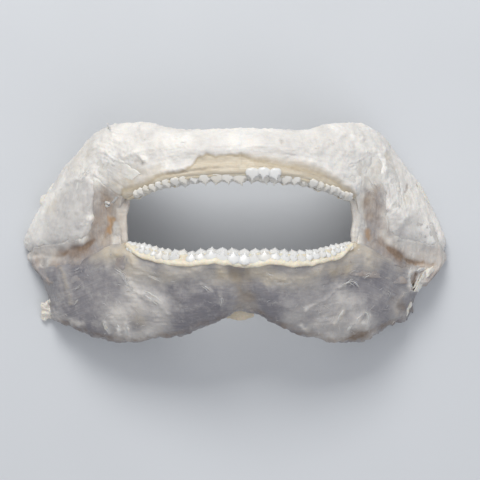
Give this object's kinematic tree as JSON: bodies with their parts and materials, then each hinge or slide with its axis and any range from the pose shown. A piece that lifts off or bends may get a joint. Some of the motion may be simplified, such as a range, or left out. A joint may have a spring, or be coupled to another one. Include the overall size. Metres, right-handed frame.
{
  "type": "dried nurse shark jaws",
  "caption": "Dried shark jaws spread open: upper and lower cartilages with rows of small cusped teeth, corner skins and joint capsules, lying on their rear ends.",
  "frame": {"origin": "middle of the footprint, on the floor that the jaws lie on", "axes": "+Z out of the front of the mouth, +Y towards the upper jaw, +X to the right of someone who faces the mouth"},
  "size_m": [0.227, 0.1148, 0.0768],
  "materials": {
    "upper_cartilage": "dried calcified cartilage, warm white, satin",
    "lower_cartilage": "dried translucent cartilage, grey, satin",
    "dried_skin": "dried skin and gum, tan to cream",
    "joint_capsule": "dried joint tissue, amber brown",
    "tooth_enamel": "tooth enameloid, white, glossy"
  },
  "bodies": {
    "root": {"upper_jaw_left": "upper_cartilage", "upper_jaw_right": "upper_cartilage", "lower_jaw_left": "lower_cartilage", "lower_jaw_right": "lower_cartilage", "mouth_corner_left": "dried_skin", "mouth_corner_right": "dried_skin", "chin_web": "dried_skin", "joint_capsule_left": "joint_capsule", "joint_capsule_right": "joint_capsule"}
  },
  "joints": []
}
